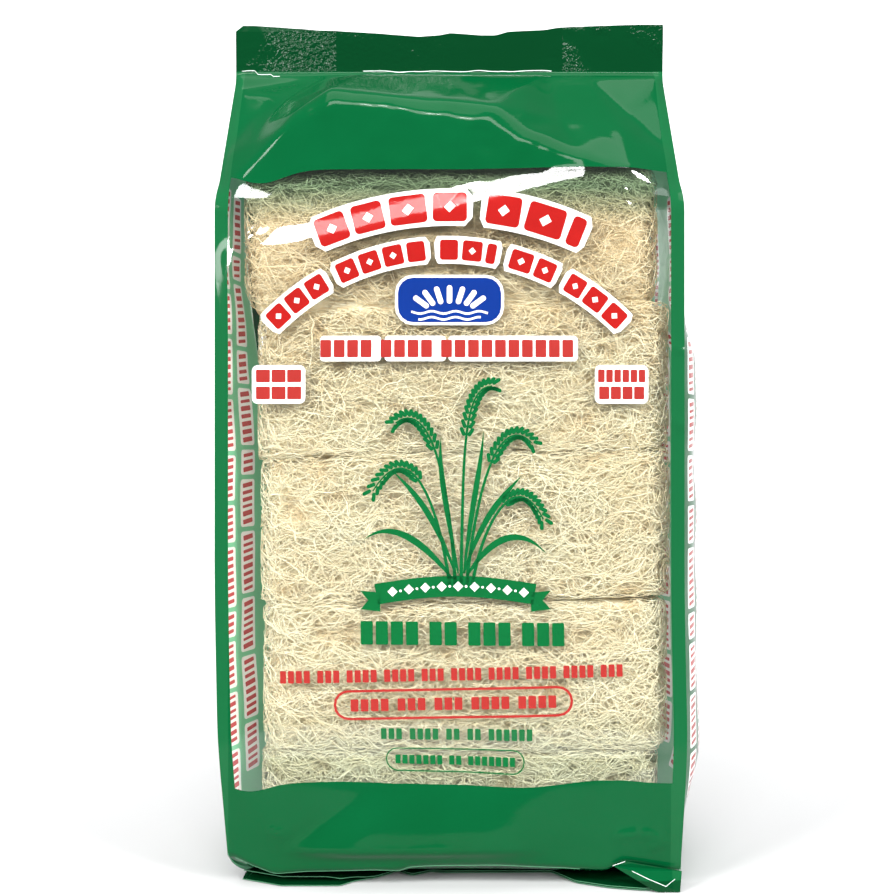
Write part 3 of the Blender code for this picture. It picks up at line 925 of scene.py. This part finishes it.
def on_film(film, u, v, lift):
    """Places on a sheet at u across and v up its print, lifted off its printed side."""
    grid, columns, rows, half, outward = film
    column = np.interp(u / half, columns, np.arange(len(columns)))
    row = np.interp(v, rows, np.arange(len(rows)))
    c, r = [np.minimum(k.astype(int), n - 2) for k, n in ((column, len(columns)), (row, len(rows)))]
    s, t = (column - c)[:, None], (row - r)[:, None]
    low = mix(grid[r, c], grid[r, c + 1], s)
    high = mix(grid[r + 1, c], grid[r + 1, c + 1], s)
    across = mix(grid[r, c + 1] - grid[r, c], grid[r + 1, c + 1] - grid[r + 1, c], t)
    normal = np.cross(across, high - low)
    normal *= outward / np.linalg.norm(normal, axis=1)[:, None]
    return mix(low, high, t) + normal * lift


def print_ink(name, shapes, lift, ink, film):
    """Prints shapes, each an outline and its holes, on a sheet of film as one piece."""
    places, cells = [], []
    for loops in shapes:
        mesh = bmesh.new()
        flat = [[Vector((u, v, 0.0)) for u, v in loop] for loop in loops]
        corners = [mesh.verts.new(p) for loop in flat for p in loop]
        for ids in geometry.tessellate_polygon(flat):
            a, b, c = [corners[i] for i in ids]
            up = (b.co - a.co).cross(c.co - a.co).z
            if abs(up) > 1e-14:
                mesh.faces.new((a, b, c) if (up > 0) == (film[4] > 0) else (a, c, b))
        # cut along the sheet's own grid lines, so that the ink follows its every crease
        for axis, lines in enumerate((film[1] * film[3], film[2])):
            ends = [vert.co[axis] for vert in mesh.verts]
            for cut in lines[(lines > min(ends)) & (lines < max(ends))]:
                place, normal = [0.0, 0.0, 0.0], [0.0, 0.0, 0.0]
                place[axis], normal[axis] = cut, 1.0
                bmesh.ops.bisect_plane(mesh, geom=mesh.verts[:] + mesh.edges[:] + mesh.faces[:],
                                       plane_co=place, plane_no=normal, dist=1e-7)
        mesh.verts.index_update()
        cells += [[len(places) + vert.index for vert in face.verts] for face in mesh.faces]
        places += [tuple(vert.co[:2]) for vert in mesh.verts]
        mesh.free()
    flat = np.array(places)
    data = bpy.data.meshes.new(name)
    data.from_pydata(on_film(film, flat[:, 0], flat[:, 1], lift).tolist(), [], cells)
    data.materials.append(ink)
    data.shade_smooth()
    fix(add_piece(name, data))


def tile(width, height, radius, u=0.0, v=0.0, turn=0.0):
    """Outline in metres, from sizes in mm, of a rounded rectangle turned and set at u, v."""
    outline = []
    for sx, sy, start in ((1, 1, 0), (-1, 1, 90), (-1, -1, 180), (1, -1, 270)):
        for step in range(5):
            a = math.radians(start + step * 22.5)
            x = sx * (width / 2 - radius) + radius * math.cos(a)
            y = sy * (height / 2 - radius) + radius * math.sin(a)
            outline.append(((u + x * math.cos(turn) - y * math.sin(turn)) * MM,
                            (v + x * math.sin(turn) + y * math.cos(turn)) * MM))
    return outline


def blade(points, widths):
    """Outline in metres of a strip that follows points, with its width at each, all in mm."""
    points = np.array(points, float)
    along = np.gradient(points, axis=0)
    along /= np.linalg.norm(along, axis=1)[:, None]
    aside = np.stack([-along[:, 1], along[:, 0]], axis=1) * np.array(widths)[:, None] / 2
    return [tuple(p * MM) for p in np.concatenate([points + aside, (points - aside)[::-1]])]


def row_of_tiles(words, height, radius, gap, space, left, right, up, slope=0.0):
    """Tiles of a row that fills left to right, in mm; words says how many stand together."""
    count = sum(words)
    width = (right - left - gap * (count - len(words)) - space * (len(words) - 1)) / count
    tiles, u = [], left
    for word in words:
        for _ in range(word):
            tiles.append([tile(width, height, radius, u + width / 2, up + slope * (u - left))])
            u += width + gap
        u += space - gap
    return tiles


def bezier(a, b, c, d, count):
    """Points of a cubic curve."""
    t = np.linspace(0, 1, count)[:, None]
    a, b, c, d = [np.array(p, float) for p in (a, b, c, d)]
    return a * (1 - t) ** 3 + 3 * b * t * (1 - t) ** 2 + 3 * c * t * t * (1 - t) + d * t ** 3


def arch_band(radius, middle, start, end, half):
    """Outline of a band that follows an arch round middle, between two angles."""
    angles = np.linspace(start, end, 24)
    points = [(middle[0] + radius * math.sin(a), middle[1] + radius * math.cos(a)) for a in angles]
    widths = np.full(24, 2.0 * half)
    widths[[0, -1]] = half * 1.1
    return blade(points, widths)


whites, reds, bricks, greens, blues = [], [], [], [], []

# two arched rows of tiles, each word on its own white band
for radius, middle, height, gap, space, pad, words in (
        (118.0, (0.2, 122.8), 10.4, 2.3, 7.0, 1.5, ((11, 11, 13, 12), (12, 13.5, 5))),
        (88.0, (-1.0, 137.8), 7.0, 1.5, 5.2, 1.3, ((7, 7, 7), (7, 7, 7, 6.4), (6.4, 7, 3.4), (8, 7),
                                                  (6.6, 7.4, 7.4)))):
    total = sum(sum(word) + gap * (len(word) - 1) for word in words) + space * (len(words) - 1)
    arc = -total / 2
    for word in words:
        first = arc
        for width in word:
            a = (arc + width / 2) / radius
            u, v = middle[0] + radius * math.sin(a), middle[1] + radius * math.cos(a)
            hole = tile(width * 0.26, height * 0.26, 0.1, u, v, math.pi / 4 - a)
            solid = tile(width, height, 0.14 * height, u, v, -a)
            reds.append([solid, hole] if width > 6.5 else [solid])
            arc += width + gap
        whites.append([arch_band(radius, middle, (first - pad * 1.4) / radius,
                                 (arc - gap + pad * 1.4) / radius, height / 2 + pad)])
        arc += space - gap

# a level row of tiles on a white strip, and a small white badge at each side
bricks += row_of_tiles((4, 4, 10), 6.2, 0.5, 0.9, 3.2, -45.6, 43.6, 191.2)
for u, width in ((-34.9, 21.6), (-12.1, 21.6), (22.4, 45.6)):
    whites.append([tile(width, 9.0, 1.4, u, 191.2)])
for middle, lines in ((-60.4, ((3, 5.0), (3, 5.0))), (60.8, ((6, 2.35), (4, 3.6)))):
    whites.append([tile(19.0, 13.6, 2.0, middle, 178.6)])
    for v, (count, width) in zip((181.6, 175.6), lines):
        for i in range(count):
            u = middle + (i - (count - 1) / 2) * (width + 0.55)
            bricks.append([tile(width, 4.5, 0.45, u, v)])

# the blue badge: a rounded plaque with rice grains on it and two furrows below them
whites.append([tile(38.4, 17.6, 6.4, 0.0, 208.3)])
cuts = []
for i in range(7):
    a = math.radians(-54 + 18 * i)
    cuts.append(tile(6.4, 1.9, 0.94, 9.2 * math.sin(a) * 1.35, 203.9 + 6.4 * math.cos(a), math.pi / 2 - a))
for v, half in ((204.0, 13.5), (201.9, 11.0)):
    wave = [(x, v + 0.45 * math.sin(x * 0.75)) for x in np.linspace(-half, half, 25)]
    cuts.append(blade(wave, [0.75] * 25))
blues.append([tile(36.4, 15.6, 5.4, 0.0, 208.3)])
badge_marks = [[cut] for cut in cuts]

# a sheaf of five rice ears with long leaves, on a ribbon
for a, b, c, d in (((0, 108), (-4, 138), (-14, 162), (-27, 141)), ((2, 108), (0, 146), (-7, 174), (-19, 165)),
                   ((4, 108), (5, 150), (4, 178), (15, 178)), ((6, 108), (9, 140), (17, 170), (29, 158)),
                   ((8, 108), (12, 132), (24, 150), (33, 131))):
    stalk = bezier(a, b, c, d, 26)
    greens.append([blade(stalk, np.linspace(1.25, 0.5, 26))])
    for i in range(13, 26):
        heading = math.atan2(*(stalk[i] - stalk[i - 1])[::-1])
        for side in (-1, 1):
            lean_out = heading + side * 0.5
            u = stalk[i][0] + 1.9 * math.cos(lean_out) + 0.55 * side * -math.sin(heading)
            v = stalk[i][1] + 1.9 * math.sin(lean_out) + 0.55 * side * math.cos(heading)
            greens.append([tile(3.3, 1.35, 0.67, u, v, lean_out)])
for a, b, c, d, wide in (((1, 110), (-8, 122), (-20, 132), (-30, 124), 2.3),
                         ((2, 112), (-6, 134), (-12, 140), (-20, 148), 2.0),
                         ((6, 111), (14, 124), (24, 130), (34, 119), 2.3),
                         ((5, 112), (12, 134), (20, 140), (25, 146), 2.0),
                         ((3, 112), (-2, 140), (-4, 150), (-3, 160), 1.9),
                         ((5, 112), (8, 138), (11, 148), (12, 162), 1.9)):
    leaf = bezier(a, b, c, d, 20)
    greens.append([blade(leaf, 0.12 + wide * np.sin(np.linspace(0.25, math.pi, 20)))])
ribbon = [(u, 106.2 + 3.2 * math.cos((u - 2) / 30 * math.pi / 2) - 2.0) for u in np.linspace(-26, 30, 30)]
greens.append([blade(ribbon, [7.4] * 30)])
for side, u in ((-1, -24.6), (1, 28.6)):
    tail = [(u, 105.2), (u + side * 7.0, 105.8), (u + side * 4.2, 102.4), (u + side * 7.0, 99.2),
            (u, 98.4)]
    greens.append([[(x * MM, y * MM) for x, y in (tail if side < 0 else tail[::-1])]])
ribbon_marks = []
for i in range(9):
    u, v = ribbon[3 + 3 * i]
    ribbon_marks.append([tile(2.5, 2.5, 0.1, u, v, math.pi / 4)])
    if i < 8:
        u, v = ribbon[4 + 3 * i]
        ribbon_marks.append([tile(0.9, 0.9, 0.44, u + 0.9, v)])

# rows of tiles below: a bold green one, a thin red one, and two in capsules
greens += row_of_tiles((4, 2, 3, 3), 8.2, 0.5, 1.0, 4.0, -31.6, 40.2, 91.0, -0.01)
bricks += row_of_tiles((4, 3, 4, 4, 3, 4, 4, 4, 4, 3), 4.4, 0.35, 0.65, 2.6, -60.4, 60.6, 75.2, 0.02)
bricks += row_of_tiles((4, 3, 3, 4, 4), 4.4, 0.4, 0.8, 3.2, -35.6, 36.8, 65.4, 0.02)
bricks.append([tile(84.4, 10.8, 5.2, 0.6, 66.2, 0.02), tile(82.6, 9.0, 4.4, 0.6, 66.2, 0.02)])
greens += row_of_tiles((3, 4, 2, 2, 6), 4.0, 0.35, 0.7, 2.8, -25.2, 28.2, 55.2)
greens += row_of_tiles((7, 2, 7), 3.2, 0.3, 0.6, 2.4, -20.4, 22.0, 46.0)
greens.append([tile(49.2, 8.4, 4.1, 0.8, 46.0), tile(48.3, 7.5, 3.7, 0.8, 46.0)])

front_film = (front_grid, front_columns, front_rows, HALF_WIDTH, 1)
print_ink("print_white_grounds", whites, WHITE_LIFT, ink_white, front_film)
print_ink("print_red_rows", reds, COLOUR_LIFT, ink_red, front_film)
print_ink("print_brick_rows", bricks, COLOUR_LIFT, ink_brick, front_film)
print_ink("print_green_sheaf", greens, COLOUR_LIFT, ink_green, front_film)
print_ink("print_blue_badge", blues, COLOUR_LIFT, ink_blue, front_film)
print_ink("print_white_marks", badge_marks + ribbon_marks, COLOUR_LIFT + WHITE_LIFT, ink_white, front_film)

# ---- the lap seam and the print on the back ------------------------------------------
# The web is closed into a tube by a lap seam up the middle of the back. Beside it are two
# white plates with plain rows of tiles, like those on the front.
back_film = (back_grid, back_columns, back_rows, HALF_WIDTH, -1)
seam_rows = back_rows[back_rows > EDGE_HEIGHT - 1 * MM]
across, up = np.meshgrid(np.linspace(-6, 6, 7) * MM, seam_rows)
seam = on_film(back_film, across.ravel(), up.ravel(), 0.3 * MM).reshape(across.shape + (3,))
film_piece("back_seam", seam, [green_film], np.zeros((len(seam_rows) - 1, 6)), False)

plates, dark_tiles, red_tiles = [], [], []
for middle in (-36.0, 36.0):
    plates.append([tile(50.0, 96.0, 3.0, middle, 146.0)])
    for i in range(13):
        words = ((4, 3, 4), (3, 5, 3), (5, 2, 4), (2, 4, 5))[i % 4]
        row = row_of_tiles(words, 3.0, 0.3, 0.6, 2.2, middle - 21.0,
                           middle + (20.0 if i % 3 else 8.0), 186.0 - 6.7 * i)
        if i in (0, 7):
            red_tiles += row
        else:
            dark_tiles += row
print_ink("back_plates", plates, WHITE_LIFT, ink_white, back_film)
print_ink("back_green_rows", dark_tiles, COLOUR_LIFT, ink_green, back_film)
print_ink("back_red_rows", red_tiles, COLOUR_LIFT, ink_brick, back_film)

# ---- the print on the gussets --------------------------------------------------------
# Up each gusset run four rows of narrow red tiles on white bands. The ink shows through on
# the lining, where it is seen through the front window beside the blocks.
# the lining's inks carry the same painted glow
lining_white = flat_ink("lining_white", (0.90, 0.87, 0.85), 0.05, LINING_GLOW)
lining_red = flat_ink("lining_red", (0.56, 0.085, 0.090), 0.2, LINING_GLOW)
for side_name, side in (("left", -1), ("right", 1)):
    rims, marks = [], []
    for row, across in enumerate((-28.0, -15.0, 15.0, 28.0)):
        draw = np.random.default_rng(40 + row)
        v = 30.0 + 8.0 * (row % 2)
        while v < 240.0 + 5.0 * (row % 2):
            start = v
            for _ in range(int(draw.integers(3, 9))):
                wide = draw.uniform(1.0, 1.9)
                marks.append([tile(6.4, wide, 0.4, across, v + wide / 2, 0.12)])
                v += wide + 1.2
            rims.append([tile(9.4, v - start + 1.3, 1.2, across, (v + start) / 2 - 0.6)])
            v += 3.0
    grid = gusset_grids[side_name]
    outer = (grid, gusset_columns, gusset_rows, CREASE_DEPTH, side)
    inner = (grid, gusset_columns, gusset_rows, CREASE_DEPTH, -side)
    print_ink("gusset_bands_" + side_name, rims, WHITE_LIFT, ink_white, outer)
    print_ink("gusset_marks_" + side_name, marks, COLOUR_LIFT, ink_red, outer)
    print_ink("lining_bands_" + side_name, rims, LINING_GAP + WHITE_LIFT, lining_white, inner)
    print_ink("lining_marks_" + side_name, marks, LINING_GAP + COLOUR_LIFT, lining_red, inner)

# ---- floor, light and camera ---------------------------------------------------------
# A white sweep of studio paper: flat under the pack, curved up into a wall behind it.
mesh = bmesh.new()
sweep = [(-0.22, 0.0), (0.9, 0.0), (1.05, 0.012), (1.2, 0.06), (1.33, 0.15), (1.42, 0.28), (1.45, 0.45),
         (1.45, 2.6)]
rows = [[mesh.verts.new((x, y, z)) for x in (-3.0, 3.0)] for y, z in sweep]
for near, far in zip(rows, rows[1:]):
    mesh.faces.new((near[0], near[1], far[1], far[0]))
data = bpy.data.meshes.new("studio_paper")
mesh.to_mesh(data)
mesh.free()
data.shade_smooth()
paper = bpy.data.materials.new("studio_paper")
paper.use_nodes = True
shader = paper.node_tree.nodes["Principled BSDF"]
shader.inputs["Base Color"].default_value = (0.63, 0.63, 0.63, 1)
shader.inputs["Roughness"].default_value = 0.9
data.materials.append(paper)
add_piece("studio_paper", data)


def softbox(name, place, aim, width, height, power, colour=(1, 1, 1)):
    """Rectangular soft light at place, turned to face aim."""
    light = bpy.data.lights.new(name, "AREA")
    light.shape = "RECTANGLE"
    light.size, light.size_y = width, height
    light.energy = power
    light.color = colour
    lamp = bpy.data.objects.new(name, light)
    lamp.location = place
    lamp.rotation_euler = (Vector(aim) - Vector(place)).to_track_quat("-Z", "Y").to_euler()
    bpy.context.scene.collection.objects.link(lamp)


softbox("overhead", (0.0, -0.25, 1.15), (0.0, 0.0, 0.15), 1.1, 0.7, 5.5)
softbox("high_key", (-0.05, -1.25, 1.2), (0.0, 0.0, 0.2), 1.1, 0.35, 16)
softbox("spark", (-0.05, -1.2, 1.16), (0.0, 0.0, 0.2), 0.12, 0.08, 1.8)
softbox("left_key", (-1.05, -0.95, 0.65), (0.0, 0.0, 0.15), 0.45, 0.6, 23)
softbox("right_key", (1.1, -0.9, 0.6), (0.0, 0.0, 0.15), 0.35, 0.55, 21)
softbox("wall_wash", (0.0, 0.38, 0.98), (0.0, 1.45, 0.55), 2.4, 0.3, 32)

world = bpy.data.worlds.new("studio")
world.use_nodes = True
world.node_tree.nodes["Background"].inputs["Color"].default_value = (0.9, 0.95, 1.0, 1)
world.node_tree.nodes["Background"].inputs["Strength"].default_value = 0.25
bpy.context.scene.world = world
bpy.context.scene.view_settings.view_transform = "Standard"

camera = bpy.data.objects.new("camera", bpy.data.cameras.new("camera"))
camera.data.lens = 48.77
camera.data.sensor_width = 36.0
camera.location = (MIDDLE_X - 0.9 * MM, -466 * MM, 156.5 * MM)
camera.rotation_euler = (math.radians(90), 0, 0)
camera.data.clip_start = 0.02
bpy.context.scene.collection.objects.link(camera)
bpy.context.scene.camera = camera
